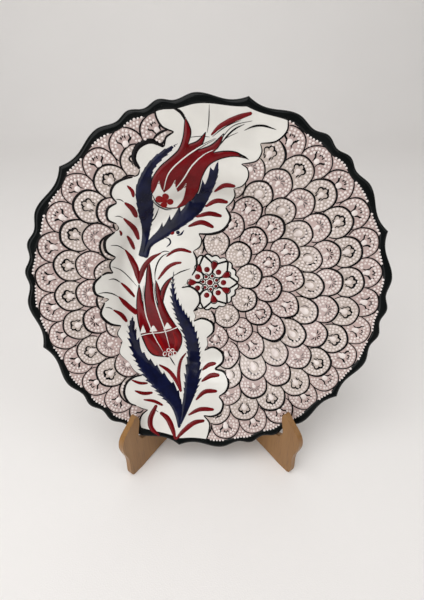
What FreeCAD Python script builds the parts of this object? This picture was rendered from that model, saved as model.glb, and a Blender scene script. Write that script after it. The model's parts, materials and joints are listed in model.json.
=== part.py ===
import FreeCAD, Part
import math
import os

# A 30 cm scalloped ceramic display plate on its folding wooden stand, in millimetres.
# +X is right, +Y is back and +Z is up. The stand's feet stand on z = 0, under the middle of the whole object.
# Pieces: the plate, two mirrored boards, two brass butt hinges (two leaves and a pin each) and their screws.

Vector = FreeCAD.Vector

# ---------- driving dimensions ----------
PLATE_RADIUS = 150.0          # centre to the tips of the rim's bumps
PLATE_DEPTH = 30.0            # rim plane to the dish floor
PLATE_WALL = 5.0              # thickness of floor and flange
RING_OUTER = 80.0             # foot ring, outer radius
RING_INNER = 74.0
RING_HEIGHT = 6.0             # how far the foot ring stands below the floor's underside
HANG_HOLE_RADIUS = 1.25       # two holes through the foot ring, for a wire
HANG_HOLE_ANGLE = 25.0        # each side of the top
RIM_TURN = 11.25              # first cusp, clockwise from the top, seen from the front
RIM_CELLS = 6                 # equal scalloped cells round the rim
LEAN = 15.34                  # how far the plate leans back, degrees
RIM_HEIGHT = 167.5            # rim centre above the floor

HINGE_Y = 44.0                # hinge axis, behind the middle of the object
HINGE_TO_RIM = 45.9           # hinge axis to the rim's centre, along Y
OPEN_ANGLE = 36.0             # each board swings this far out from the middle
BOARD_THICKNESS = 5.0
BOARD_HEIGHT = 150.0
BOARD_REAR = 2.6              # hinge axis to the board's rear edge
BOARD_EDGE_ROUND = 1.1        # softened edges of the boards

LEAF_THICKNESS = 1.0
LEAF_GAP = 0.3                # half the gap between the two leaves when folded
LEAF_WIDTH = 12.0
LEAF_HEIGHT = 26.0
LEAF_CORNER = 1.5
KNUCKLE_RADIUS = 2.0
KNUCKLE_COUNT = 3
KNUCKLE_GAP = 0.3
PIN_RADIUS = 0.9
PIN_CLEARANCE = 0.05
PIN_HEAD = 0.4                # how far the pin's ends stand out
PIN_ROUND = 0.9               # their rounding, as a share of PIN_HEAD
HINGE_HEIGHTS = {"lower": 34.0, "upper": 116.0}
SCREW_RADIUS = 1.0
SCREW_HEAD_RADIUS = 1.9
SCREW_HEAD_DEPTH = 0.9
SCREW_LENGTH = 5.0
SCREW_SPACING = 15.0
SCREW_INSET = 4.4             # screws' distance from the leaf's long edge
SCREW_FIT = 0.04
SCREW_SLOT = (0.45, 0.35)     # width and depth

RIM_Y = HINGE_Y - HINGE_TO_RIM
INNER_FACE = LEAF_GAP + LEAF_THICKNESS
CUT_MARGIN = 3.0              # how far a cutting tool runs past what it cuts


# ---------- the plate ----------
LIP_HEIGHT = 0.7              # how far the flange's line runs past the rim plane, where it is cut off
RING_ROOT = -30.6             # where the outer side of the foot ring meets the back

# Half of one rim cell, as (degrees from the cusp, radius as a share of PLATE_RADIUS).
# Bumps and valleys take turns, and the wave between two of them is half a cosine.
HALF_CELL = ((0.0, 0.999), (5.5, 0.972), (15.0, 1.0), (21.0, 0.979), (25.5, 0.998), (30.0, 0.979))
CUSP_POWER = 2.0              # how fast the cusp's two sides fall away


def rim_share(degrees_from_cusp):
    """The rim's radius as a share of PLATE_RADIUS, from the cusp at 0 to the middle of its cell at 30."""
    for (start, from_share), (end, to_share) in zip(HALF_CELL, HALF_CELL[1:]):
        if degrees_from_cusp <= end:
            t = (degrees_from_cusp - start) / (end - start)
            if start == 0.0:
                ease = 1.0 - (1.0 - t) ** CUSP_POWER
            else:
                ease = (1.0 - math.cos(math.pi * t)) / 2.0
            return from_share + (to_share - from_share) * ease
    return HALF_CELL[-1][1]


def rim_point(angle_from_cusp, cusp_angle):
    """A point of the scalloped outline in the plate's own plane, with angles clockwise from its top."""
    cell = 360.0 / RIM_CELLS
    radius = PLATE_RADIUS * rim_share(min(angle_from_cusp, cell - angle_from_cusp))
    angle = math.radians(cusp_angle + angle_from_cusp)
    return Vector(radius * math.sin(angle), radius * math.cos(angle), 0.0)


def scalloped_prism(low, high):
    """The rim's outline as a solid from z = low to z = high, one smooth curve per cell between sharp cusps."""
    cell = 360.0 / RIM_CELLS
    steps = 40
    edges = []
    for index in range(RIM_CELLS):
        cusp = RIM_TURN + index * cell
        curve = Part.BSplineCurve()
        curve.interpolate([rim_point(cell * i / steps, cusp) for i in range(steps + 1)])
        edges.append(curve.toShape())
    face = Part.Face(Part.Wire(Part.__sortEdges__(edges)))
    face.translate(Vector(0, 0, low))
    return face.extrude(Vector(0, 0, high - low))


def plate_profile():
    """Half of the plate's cross-section, x is the radius and z the height towards the front."""
    beyond = PLATE_RADIUS + CUT_MARGIN
    under = -PLATE_DEPTH - PLATE_WALL
    foot = under - RING_HEIGHT

    def edge(*points):
        vectors = [Vector(r, 0, z) for r, z in points]
        if len(vectors) == 2:
            return Part.LineSegment(*vectors).toShape()
        curve = Part.BSplineCurve()
        curve.interpolate(vectors)
        return curve.toShape()

    floor_edge = (66.0, -PLATE_DEPTH)
    lip = (beyond, LIP_HEIGHT)
    lip_back = (beyond, LIP_HEIGHT - PLATE_WALL)
    ring_root = (RING_OUTER, RING_ROOT)
    return Part.Face(Part.Wire([
        edge((0.0, -PLATE_DEPTH), floor_edge),
        edge(floor_edge, (76.0, -27.6), (84.0, -20.2), (93.0, -14.4), (110.0, -9.8), (130.0, -5.2), lip),
        edge(lip, lip_back),
        edge(lip_back, (130.0, -10.2), (112.0, -14.6), (95.0, -19.4), (87.0, -24.6), ring_root),
        edge(ring_root, (RING_OUTER, foot)),
        edge((RING_OUTER, foot), (RING_INNER, foot)),
        edge((RING_INNER, foot), (RING_INNER, under)),
        edge((RING_INNER, under), (0.0, under)),
        edge((0.0, under), (0.0, -PLATE_DEPTH)),
    ]))


def place_plate(shape):
    """Stands a shape made in the plate's own frame (z towards its front) up in the stand."""
    shape.rotate(Vector(0, 0, 0), Vector(1, 0, 0), 90.0 - LEAN)
    shape.translate(Vector(0, RIM_Y, RIM_HEIGHT))
    return shape


def make_plate():
    body = plate_profile().revolve(Vector(0, 0, 0), Vector(0, 0, 1), 360)
    body = body.common(scalloped_prism(-PLATE_DEPTH * 2, PLATE_DEPTH))
    hole_depth = -PLATE_DEPTH - PLATE_WALL - RING_HEIGHT / 2
    for side in (-1, 1):
        angle = math.radians(side * HANG_HOLE_ANGLE)
        outward = Vector(math.sin(angle), math.cos(angle), 0)
        start = outward * (RING_INNER - CUT_MARGIN) + Vector(0, 0, hole_depth)
        length = RING_OUTER - RING_INNER + 2 * CUT_MARGIN
        body = body.cut(Part.makeCylinder(HANG_HOLE_RADIUS, length, start, outward))
    return place_plate(body.Solids[0])


# ---------- the boards ----------
# A board is drawn folded shut: u runs forward from the hinge axis, z up, and its thickness to the right.
TOP_ROUND = 5.0               # the upright's rear top corner
NOTCH_FLOOR = 32.4            # where the rim rests
NOTCH_RISE = 2.4              # the floor slopes up towards the finger, like the underside of the rim
FINGER_BACK = 105.2           # the finger's side that faces the plate


def board_point(u, z):
    return Vector(INNER_FACE, -u, z)


def smooth(*points):
    curve = Part.BSplineCurve()
    curve.interpolate([board_point(u, z) for u, z in points])
    return curve.toShape()


def straight(start, end):
    return Part.LineSegment(board_point(*start), board_point(*end)).toShape()


def arc(start, middle, end):
    return Part.Arc(*[board_point(*p) for p in (start, middle, end)]).toShape()


def make_right_board_blank():
    """The board's outline: rear foot, arch, front foot, bulging outer edge, finger, notch and upright."""
    top = BOARD_HEIGHT
    rear_foot, arch_start = (BOARD_REAR, 0.0), (19.0, 0.0)
    front_foot, foot_end = (107.0, 0.0), (117.5, 0.0)
    notch_back, notch_low = (94.0, NOTCH_FLOOR), (96.8, NOTCH_FLOOR)
    notch_front = (FINGER_BACK - 2.4, NOTCH_FLOOR + NOTCH_RISE)
    finger_low = (FINGER_BACK, NOTCH_FLOOR + NOTCH_RISE + 2.9)
    web = (84.0, 31.0)
    ring_touch, nose = (32.2, 86.0), (18.9, 144.0)
    top_front, top_rear = (13.5, top), (BOARD_REAR + TOP_ROUND, top)
    top_bend = TOP_ROUND * (1 - math.sqrt(0.5))
    edges = [
        straight(rear_foot, arch_start),
        arc(arch_start, (63.0, 3.6), front_foot),
        straight(front_foot, foot_end),
        smooth(foot_end, (120.9, 2.4), (122.0, 9.0), (121.8, 18.0), (122.6, 26.0), (125.4, 34.0),
               (127.3, 44.0), (125.6, 51.0), (120.6, 56.6), (114.6, 61.0), (110.6, 64.8), (107.6, 66.4),
               (105.6, 64.0), (105.1, 56.0), finger_low),
        arc(finger_low, (FINGER_BACK - 0.7, NOTCH_FLOOR + NOTCH_RISE + 1.0), notch_front),
        straight(notch_front, notch_low),
        straight(notch_low, notch_back),
        smooth(notch_back, web, (70.0, 31.5), (56.0, 38.0), (44.0, 53.0), (36.6, 70.0), ring_touch),
        straight(ring_touch, nose),
        smooth(nose, (17.4, 148.0), top_front),
        straight(top_front, top_rear),
        arc(top_rear, (BOARD_REAR + top_bend, top - top_bend), (BOARD_REAR, top - TOP_ROUND)),
        straight((BOARD_REAR, top - TOP_ROUND), rear_foot),
    ]
    return Part.Face(Part.Wire(edges)).extrude(Vector(BOARD_THICKNESS, 0, 0))


def soften(board):
    """Rounds the long edges of both faces, apart from those that stand on the floor or carry the hinges."""
    def is_soft(edge):
        box = edge.BoundBox
        on_face = box.XLength < 0.01
        on_floor = box.ZMax < 0.01
        at_hinge = box.YMin > -BOARD_REAR - 0.01
        return on_face and not on_floor and not at_hinge

    edges = [edge for edge in board.Edges if is_soft(edge)]
    try:
        rounded = board.makeFillet(BOARD_EDGE_ROUND, edges)
        if rounded.isValid() and rounded.Volume > 0:
            return rounded
    except Part.OCCError as error:
        print("the boards' edges stay square:", error)
    return board


# ---------- the hinges and screws ----------
def upright_cylinder(radius, low, high):
    return Part.makeCylinder(radius, high - low, Vector(0, 0, low))


def knuckle_spans(middle):
    """(low, high) of each knuckle of a hinge, from the bottom."""
    each = (LEAF_HEIGHT - KNUCKLE_GAP * (KNUCKLE_COUNT - 1)) / KNUCKLE_COUNT
    bottom = middle - LEAF_HEIGHT / 2
    starts = [bottom + i * (each + KNUCKLE_GAP) for i in range(KNUCKLE_COUNT)]
    return [(start, start + each) for start in starts]


def make_right_leaf(middle, own):
    """One leaf, folded shut on the right, with the knuckles whose numbers are in own."""
    low, high = middle - LEAF_HEIGHT / 2, middle + LEAF_HEIGHT / 2
    leaf = Part.makeBox(LEAF_THICKNESS, LEAF_WIDTH, LEAF_HEIGHT, Vector(LEAF_GAP, -LEAF_WIDTH, low))
    corners = [e for e in leaf.Edges if e.BoundBox.XLength > 0.5 and e.BoundBox.YMin < -LEAF_WIDTH + 0.01]
    leaf = leaf.makeFillet(LEAF_CORNER, [e for e in corners if e.BoundBox.YLength < 0.01])
    for index, (start, end) in enumerate(knuckle_spans(middle)):
        if index in own:
            leaf = leaf.fuse(upright_cylinder(KNUCKLE_RADIUS, start, end))
        else:
            clear = upright_cylinder(KNUCKLE_RADIUS + KNUCKLE_GAP, start - KNUCKLE_GAP, end + KNUCKLE_GAP)
            leaf = leaf.cut(clear)
    bore = upright_cylinder(PIN_RADIUS + PIN_CLEARANCE, low - CUT_MARGIN, high + CUT_MARGIN)
    for screw_hole in screw_bodies(middle, SCREW_FIT):
        leaf = leaf.cut(screw_hole)
    return leaf.cut(bore).removeSplitter().Solids[0]


def make_pin(middle):
    """The hinge pin, with low rounded ends."""
    low, high = middle - LEAF_HEIGHT / 2, middle + LEAF_HEIGHT / 2
    pin = upright_cylinder(PIN_RADIUS, low - PIN_HEAD, high + PIN_HEAD)
    ends = [e for e in pin.Edges if isinstance(e.Curve, Part.Circle)]
    return pin.makeFillet(PIN_HEAD * PIN_ROUND, ends)


def screw_bodies(middle, grow=0.0):
    """The two countersunk screws of a leaf folded shut on the right, or their holes when grow is the clearance."""
    axis = Vector(1, 0, 0)
    found = []
    for side in (-1, 1):
        head = Vector(LEAF_GAP, -(LEAF_WIDTH - SCREW_INSET), middle + side * SCREW_SPACING / 2)
        cone = Part.makeCone(SCREW_HEAD_RADIUS + grow, SCREW_RADIUS + grow, SCREW_HEAD_DEPTH, head, axis)
        shank = Part.makeCylinder(SCREW_RADIUS + grow, SCREW_LENGTH + grow, head, axis)
        found.append(cone.fuse(shank).removeSplitter().Solids[0])
    return found


def slotted(screw):
    """Cuts the driver slot across a screw's head."""
    width, depth = SCREW_SLOT
    box = screw.BoundBox
    middle = (box.ZMin + box.ZMax) / 2
    return screw.cut(Part.makeBox(depth, box.YLength, width, Vector(box.XMin, box.YMin, middle - width / 2)))


# ---------- placing and writing ----------
def open_right(shape):
    """Swings a shape drawn folded shut out to the open board on the right, and moves it to the hinge axis."""
    shape = shape.copy()
    shape.rotate(Vector(0, 0, 0), Vector(0, 0, 1), OPEN_ANGLE)
    shape.translate(Vector(0, HINGE_Y, 0))
    return shape


def open_left(shape):
    return open_right(shape).mirror(Vector(0, 0, 0), Vector(1, 0, 0))


def build():
    """Every node's shape, by its name."""
    board = soften(make_right_board_blank())
    screws = []
    nodes = {"plate": make_plate()}
    for place, middle in HINGE_HEIGHTS.items():
        outer = [i for i in range(KNUCKLE_COUNT) if i % 2 == 0]
        inner = [i for i in range(KNUCKLE_COUNT) if i % 2 == 1]
        nodes[f"{place}_hinge_left_leaf"] = open_left(make_right_leaf(middle, outer))
        nodes[f"{place}_hinge_right_leaf"] = open_right(make_right_leaf(middle, inner))
        pin = make_pin(middle)
        pin.translate(Vector(0, HINGE_Y, 0))
        nodes[f"{place}_hinge_pin"] = pin
        for hole in screw_bodies(middle, SCREW_FIT):
            board = board.cut(hole)
        screws += [slotted(screw) for screw in screw_bodies(middle)]
    nodes["right_board"] = open_right(board)
    nodes["left_board"] = open_left(board)
    nodes["right_screws"] = Part.makeCompound([open_right(screw) for screw in screws])
    nodes["left_screws"] = Part.makeCompound([open_left(screw) for screw in screws])
    return nodes


os.makedirs("parts", exist_ok=True)
for name, shape in build().items():
    shape.exportStep(os.path.join("parts", name + ".step"))
    box = shape.BoundBox
    print(f"{name:24s} solids {len(shape.Solids)} valid {shape.isValid()} volume {shape.Volume / 1000:8.2f} cm3 "
          f"x {box.XMin:7.1f} {box.XMax:7.1f} y {box.YMin:6.1f} {box.YMax:6.1f} z {box.ZMin:6.1f} {box.ZMax:6.1f}")
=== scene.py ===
# %% [markdown]
# # A painted plate on a folding stand
# The real object is a fired plate with a scalloped black rim. Its painting stands proud of the
# glaze: rows of slip dots, black lines, and thick red and blue enamel. It leans in a wooden stand
# of two hinged boards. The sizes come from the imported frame, so this lesson is about finish: how a
# flat drawing is laid on a curved dish as real, raised paint.

# %% Open the frame
import json
import math
import random

import bpy
import numpy as np
from mathutils import Matrix, Vector
from mathutils.geometry import delaunay_2d_cdt


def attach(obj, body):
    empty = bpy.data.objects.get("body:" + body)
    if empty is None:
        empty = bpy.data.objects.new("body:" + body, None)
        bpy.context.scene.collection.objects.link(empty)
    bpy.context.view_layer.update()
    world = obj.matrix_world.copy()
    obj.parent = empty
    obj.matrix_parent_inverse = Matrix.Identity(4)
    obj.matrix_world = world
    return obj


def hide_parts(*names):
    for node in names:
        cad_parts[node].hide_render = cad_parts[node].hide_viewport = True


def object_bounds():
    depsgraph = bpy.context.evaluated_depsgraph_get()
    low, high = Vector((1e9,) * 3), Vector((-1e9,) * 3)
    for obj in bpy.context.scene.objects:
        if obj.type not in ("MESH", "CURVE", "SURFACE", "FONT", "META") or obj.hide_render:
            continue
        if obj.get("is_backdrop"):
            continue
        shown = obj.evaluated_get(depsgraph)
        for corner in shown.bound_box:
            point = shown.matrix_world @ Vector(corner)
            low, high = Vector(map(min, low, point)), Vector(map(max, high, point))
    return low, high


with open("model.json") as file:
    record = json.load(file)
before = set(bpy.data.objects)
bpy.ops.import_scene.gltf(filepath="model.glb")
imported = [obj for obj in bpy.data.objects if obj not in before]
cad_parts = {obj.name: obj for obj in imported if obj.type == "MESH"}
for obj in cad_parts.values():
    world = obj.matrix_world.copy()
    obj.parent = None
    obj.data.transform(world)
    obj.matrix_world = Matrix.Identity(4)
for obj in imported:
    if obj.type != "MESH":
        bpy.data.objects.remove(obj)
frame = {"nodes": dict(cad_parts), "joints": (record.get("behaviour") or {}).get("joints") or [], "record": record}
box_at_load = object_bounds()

MM = 0.001
chance = random.Random(21)

# %% [markdown]
# ## The plate's own plane
# A painter turns the plate to face them. We do the same: everything on the plate is drawn in
# millimetres, x to the right and y up from its middle, z towards its front. The foot ring's mount
# says which way the back faces, and it sits at a known place on the plate, so it gives the frame.

# %% Find the plate in the frame
mounts = {mount["name"]: mount for mount in frame["record"]["mounts"]}
joints = {joint["name"]: joint for joint in frame["joints"]}
RING_MOUNT_UP = 77.0          # the foot ring's top, above the plate's middle
RING_MOUNT_BACK = 41.0        # and behind the rim's plane
back = Vector(mounts["foot_ring"]["axis"])
upward = Vector((0.0, -back.z, back.y))
middle = Vector(mounts["foot_ring"]["pos_m"]) - back * RING_MOUNT_BACK * MM - upward * RING_MOUNT_UP * MM
PLATE_PLACE = Matrix.Translation(middle) @ Matrix((
    (1.0, upward.x, -back.x, 0.0),
    (0.0, upward.y, -back.y, 0.0),
    (0.0, upward.z, -back.z, 0.0),
    (0.0, 0.0, 0.0, 1.0)))
print("plate's middle:", [round(c, 4) for c in middle], "leans", round(math.degrees(math.asin(-back.z)), 2))

# %% [markdown]
# ## The shape of the dish
# A plate is thrown, so one profile turned round its middle gives both faces. We keep a few points
# of each profile and run a smooth curve through them. The rim is cut to a wavy outline: six equal
# cells, each with a sharp cusp and four soft bumps.

# %% Profiles and the rim's outline
FRONT_PROFILE = ((0, -30), (66, -30), (76, -27.6), (84, -20.2), (93, -14.4), (110, -9.8), (130, -5.2),
                 (153, 0.7))
BACK_PROFILE = ((80, -30.6), (87, -24.6), (95, -19.4), (112, -14.6), (130, -10.2), (153, -4.3))
RIM_RADIUS = 150.0
RIM_TURN = 11.25              # the first cusp, clockwise from the top
HALF_CELL = ((0.0, 0.999), (5.5, 0.972), (15.0, 1.0), (21.0, 0.979), (25.5, 0.998), (30.0, 0.979))
CELL = 60.0
SLOPE_REACH = 0.4             # how far each side of a point the dish's slope is taken
CURVE_POINTS = 24             # worked out between each two given points of a curve


def smooth_table(points, step=0.25):
    """A smooth curve through (radius, height) points, as two arrays for np.interp."""
    r, z = (np.array(column, float) for column in zip(*points))
    chord = np.diff(z) / np.diff(r)
    slope = np.concatenate(([chord[0]], (chord[:-1] + chord[1:]) / 2, [chord[-1]]))
    slope[np.concatenate(([True], chord == 0))] = 0
    slope[:-1][chord == 0] = 0
    fine = np.arange(r[0], r[-1] + step, step)
    i = np.clip(np.searchsorted(r, fine) - 1, 0, len(r) - 2)
    width = r[i + 1] - r[i]
    t = np.clip((fine - r[i]) / width, 0, 1)
    height = ((2 * t**3 - 3 * t**2 + 1) * z[i] + (t**3 - 2 * t**2 + t) * width * slope[i]
              + (3 * t**2 - 2 * t**3) * z[i + 1] + (t**3 - t**2) * width * slope[i + 1])
    return fine, height


FRONT = smooth_table(FRONT_PROFILE)
BACK = smooth_table(BACK_PROFILE)


def front_height(r):
    return np.interp(r, *FRONT)


def back_height(r):
    return np.interp(r, *BACK)


def rim_radius(clock):
    """The outline's radius at degrees clockwise from the top."""
    within = (np.asarray(clock, float) - RIM_TURN) % CELL
    within = np.minimum(within, CELL - within)
    starts, shares = np.array(HALF_CELL).T
    i = np.clip(np.searchsorted(starts, within, side="right") - 1, 0, len(starts) - 2)
    t = (within - starts[i]) / (starts[i + 1] - starts[i])
    ease = np.where(i == 0, 1 - (1 - t) ** 2, (1 - np.cos(np.pi * t)) / 2)
    return RIM_RADIUS * (shares[i] + (shares[i + 1] - shares[i]) * ease)


def on_plate(xy, lift):
    """Points of a flat drawing laid on the front of the dish, lift millimetres proud of it."""
    xy = np.asarray(xy, float)
    r = np.hypot(xy[:, 0], xy[:, 1])
    rise = front_height(r + SLOPE_REACH) - front_height(np.maximum(r - SLOPE_REACH, 0))
    slope = rise / (2 * SLOPE_REACH)
    out = xy / np.maximum(r, 1e-6)[:, None]
    steep = np.sqrt(1 + slope**2)
    lift = np.broadcast_to(np.asarray(lift, float), r.shape)
    flat = xy - out * (slope / steep * lift)[:, None]
    return np.column_stack((flat, front_height(r) + lift / steep)) * MM


print("dish: depth", -front_height(0.0), "mm, lip height", round(float(front_height(150.0)), 2), "mm")

# %% [markdown]
# ## Making a piece
# Each group of brushwork is one mesh with a named slot, so that a scene can repaint all the red at
# once. A group is collected as many small sheets of points and faces, and then joined into one
# object that rides on the plate's body. Smooth shading with a limit angle keeps domes round and edges crisp.

# %% Piece and paint helpers
def make_piece(name, sheets, material, sharp=50.0):
    """One object out of (points, faces) sheets in the plate's frame."""
    points, faces, start = [], [], 0
    for sheet_points, sheet_faces in sheets:
        points.append(np.asarray(sheet_points))
        faces.extend([[i + start for i in face] for face in sheet_faces])
        start += len(sheet_points)
    mesh = bpy.data.meshes.new(name)
    mesh.from_pydata(np.concatenate(points).tolist(), [], faces)
    mesh.transform(PLATE_PLACE)
    mesh.shade_smooth()
    mesh.set_sharp_from_angle(angle=math.radians(sharp))
    mesh.materials.append(material)
    piece = bpy.data.objects.new(name, mesh)
    bpy.context.scene.collection.objects.link(piece)
    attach(piece, "dish")
    print(f"{name}: {len(mesh.vertices)} points, {len(mesh.polygons)} faces")
    return piece


def grid_faces(rows, columns, closed=False):
    """Quads between the rows of a grid of points; closed joins the last row to the first."""
    faces = []
    for i in range(rows if closed else rows - 1):
        here, there = i * columns, (i + 1) % rows * columns
        faces += [(here + j, here + j + 1, there + j + 1, there + j) for j in range(columns - 1)]
    return faces


def unit(turn):
    """Points of the unit circle at these angles."""
    return np.column_stack((np.cos(turn), np.sin(turn)))


def lengths_along(line):
    """How far along a line each of its points is."""
    return np.concatenate(([0], np.cumsum(np.hypot(*np.diff(line, axis=0).T))))


def curve_through(points, step=0.9):
    """Evenly spaced points of a smooth curve through the given ones."""
    p = np.array(points, float)
    if len(p) == 2:
        count = max(2, int(np.hypot(*(p[1] - p[0])) / step) + 1)
        return p[0] + np.linspace(0, 1, count)[:, None] * (p[1] - p[0])
    p = np.vstack((2 * p[0] - p[1], p, 2 * p[-1] - p[-2]))
    found = []
    for a, b, c, d in zip(p, p[1:], p[2:], p[3:]):
        k = np.array([max(np.hypot(*(v - u)), 1e-6) ** 0.5 for u, v in ((a, b), (b, c), (c, d))])
        leave = k[1] * ((b - a) / k[0] - (c - a) / (k[0] + k[1]) + (c - b) / k[1])
        arrive = k[1] * ((c - b) / k[1] - (d - b) / (k[1] + k[2]) + (d - c) / k[2])
        t = np.linspace(0, 1, CURVE_POINTS, endpoint=False)[:, None]
        found.append((2 * t**3 - 3 * t**2 + 1) * b + (t**3 - 2 * t**2 + t) * leave
                     + (3 * t**2 - 2 * t**3) * c + (t**3 - t**2) * arrive)
    line = np.vstack((*found, p[-2]))
    along = lengths_along(line)
    even = np.linspace(0, along[-1], max(3, int(along[-1] / step) + 1))
    return np.column_stack([np.interp(even, along, line[:, axis]) for axis in (0, 1)])


ACROSS = np.array((-1.0, -0.7, 0.0, 0.7, 1.0))
RISE = np.array((0.0, 0.75, 1.0, 0.75, 0.0))


def brush_line(line, widths, lift, height):
    """A raised line of paint, half round across, that swells and thins along widths."""
    line = np.asarray(line, float)
    along = lengths_along(line)
    width = np.interp(along / along[-1], np.linspace(0, 1, len(widths)), widths)
    from_end = np.minimum(along, along[-1] - along)
    reach = np.clip(1 - from_end / np.maximum(width / 2, 0.01), 0, 1)
    width = np.maximum(width * np.sqrt(1 - reach**2), 0.05)
    run = np.gradient(line, axis=0)
    side = np.column_stack((-run[:, 1], run[:, 0])) / np.maximum(np.hypot(*run.T), 1e-9)[:, None]
    xy = line[:, None, :] + side[:, None, :] * (ACROSS[None, :, None] * width[:, None, None] / 2)
    tall = height * np.clip(width / 1.2, 0.15, 1.0)
    lifts = lift + tall[:, None] * RISE[None, :]
    return on_plate(xy.reshape(-1, 2), lifts.ravel()), grid_faces(len(line), len(ACROSS))


def stroke(points, widths, lift, height=0.3):
    """A raised line of paint through a few given points."""
    return brush_line(curve_through(points), widths, lift, height)


def inside(points, outline):
    """True for the points inside a closed outline."""
    x, y = points[:, 0], points[:, 1]
    found = np.zeros(len(points), bool)
    for (x0, y0), (x1, y1) in zip(outline, np.roll(outline, -1, axis=0)):
        crosses = (y0 > y) != (y1 > y)
        if crosses.any():
            found ^= crosses & (x < (x1 - x0) * (y - y0) / ((y1 - y0) or 1e-12) + x0)
    return found


def distance_to(points, outline):
    """How far each point is from a closed outline."""
    start = np.asarray(outline)
    run = np.roll(start, -1, axis=0) - start
    length = np.maximum((run**2).sum(1), 1e-12)
    nearest = np.full(len(points), 1e9)
    for first, step, squared in zip(start, run, length):
        t = np.clip(((points - first) @ step) / squared, 0, 1)
        nearest = np.minimum(nearest, np.hypot(*(points - first - t[:, None] * step).T))
    return nearest


def filled(outline, lift, height, edge, pitch=1.8, skirt=False):
    """A patch of paint inside a closed outline. It is pulled up to height within edge of its border."""
    outline = np.asarray(outline, float)
    run = np.roll(outline, -1, axis=0) - outline
    if (outline[:, 0] * run[:, 1] - outline[:, 1] * run[:, 0]).sum() < 0:
        outline = outline[::-1]
    low, high = outline.min(0), outline.max(0)
    xs, ys = np.meshgrid(np.arange(low[0], high[0], pitch), np.arange(low[1], high[1], pitch * 0.87))
    xs = xs + (np.arange(xs.shape[0]) % 2)[:, None] * pitch / 2
    inner = np.column_stack((xs.ravel(), ys.ravel()))
    inner = inner[inside(inner, outline)]
    inner = inner[distance_to(inner, outline) > pitch * 0.4]
    flat = np.vstack((outline, inner))
    count = len(outline)
    points, _, faces, *_ = delaunay_2d_cdt([Vector(p) for p in flat], [], [list(range(count))], 1, 1e-5)
    points = np.array([tuple(p) for p in points])
    away = np.clip(distance_to(points, outline) / edge, 0, 1)
    sheet = on_plate(points, lift + height * (1 - (1 - away) ** 2))
    faces = [tuple(face) for face in faces]
    if skirt:
        foot = on_plate(outline, 0.0)
        top = on_plate(outline, lift)
        start = len(sheet)
        sheet = np.vstack((sheet, top, foot))
        faces += [(start + i, start + count + i, start + count + (i + 1) % count, start + (i + 1) % count)
                  for i in range(count)]
    return sheet, faces


# %% [markdown]
# ## Finishes
# Glaze is never one flat colour. It pools, so its tone drifts over a few centimetres, its surface
# ripples softly like orange peel, and it has pinholes. A shader node group makes those three things
# once, with named inputs, and each fired finish places it with its own values. The wood, the brass
# and the cloth get groups of their own.

# %% Node helpers
def add(tree, kind, inputs=None, **settings):
    """A node with its settings, and its inputs set or linked."""
    made = tree.nodes.new(kind)
    for key, value in settings.items():
        setattr(made, key, value)
    for key, value in (inputs or {}).items():
        if isinstance(value, bpy.types.NodeSocket):
            tree.links.new(value, made.inputs[key])
        else:
            made.inputs[key].default_value = value
    return made


def new_group(name, inputs):
    """A finish group: the tree, its inputs, its outputs and the object's coordinates."""
    group = bpy.data.node_groups.new(name, "ShaderNodeTree")
    for label, value in inputs.items():
        kind = "NodeSocketColor" if isinstance(value, tuple) else "NodeSocketFloat"
        group.interface.new_socket(label, in_out="INPUT", socket_type=kind).default_value = value
    for label, kind in (("Colour", "Color"), ("Roughness", "Float"), ("Height", "Float")):
        group.interface.new_socket(label, in_out="OUTPUT", socket_type="NodeSocket" + kind)
    given = group.nodes.new("NodeGroupInput").outputs
    made = group.nodes.new("NodeGroupOutput").inputs
    return group, given, made, add(group, "ShaderNodeTexCoord").outputs["Object"]


def give_out(group, made, colour, roughness, height):
    """Link a finish group's three outputs."""
    for label, value in (("Colour", colour), ("Roughness", roughness), ("Height", height)):
        group.links.new(value, made[label])
    return group


def blend_colours(tree, factor, first, second):
    """The colour between first and second."""
    mix = add(tree, "ShaderNodeMix", data_type="RGBA")
    for socket, value in ((mix.inputs[0], factor), (mix.inputs[6], first), (mix.inputs[7], second)):
        if isinstance(value, bpy.types.NodeSocket):
            tree.links.new(value, socket)
        else:
            socket.default_value = value
    return mix.outputs[2]


def shift(tree, value, low=0.0, high=1.0, start=0.0, end=1.0):
    """A value between start and end brought to between low and high."""
    inputs = {"Value": value, "From Min": start, "From Max": end, "To Min": low, "To Max": high}
    return add(tree, "ShaderNodeMapRange", inputs).outputs[0]


def noise(tree, place, scale, detail=2.0, distortion=0.0):
    """A cloudy pattern's value at a place, from 0 to 1."""
    inputs = {"Vector": place, "Scale": scale, "Detail": detail, "Distortion": distortion}
    return add(tree, "ShaderNodeTexNoise", inputs).outputs["Fac"]


def stretched(tree, place, scale):
    """Coordinates scaled along each axis, which draws a pattern out along the smallest."""
    return add(tree, "ShaderNodeMapping", {"Vector": place, "Scale": scale}).outputs[0]


def maths(tree, operation, *values):
    """The result of one step of arithmetic."""
    return add(tree, "ShaderNodeMath", dict(enumerate(values)), operation=operation).outputs[0]


# %% Fired glaze
def fired_glaze_group():
    """Glaze that pools, ripples and has pinholes."""
    group, given, made, place = new_group("Fired glaze", {
        "Thick": (0.8, 0.8, 0.8, 1), "Thin": (0.7, 0.7, 0.7, 1), "Pool size": 60.0, "Gloss": 0.12,
        "Ripple": 0.5})
    pool = noise(group, place, given["Pool size"], 3.0)
    fine = noise(group, place, 420.0)
    peel = noise(group, place, 150.0, 1.0)
    holes = add(group, "ShaderNodeTexVoronoi", {"Vector": place, "Scale": 260.0}).outputs["Distance"]
    pin = shift(group, holes, end=0.09)
    tone = shift(group, pool, start=0.35, end=0.65)
    colour = blend_colours(group, tone, given["Thin"], given["Thick"])
    rough = maths(group, "ADD", given["Gloss"], shift(group, fine, -0.05, 0.09))
    waves = maths(group, "MULTIPLY", peel, given["Ripple"])
    return give_out(group, made, colour, rough, maths(group, "MULTIPLY_ADD", pin, 0.25, waves))


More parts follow.
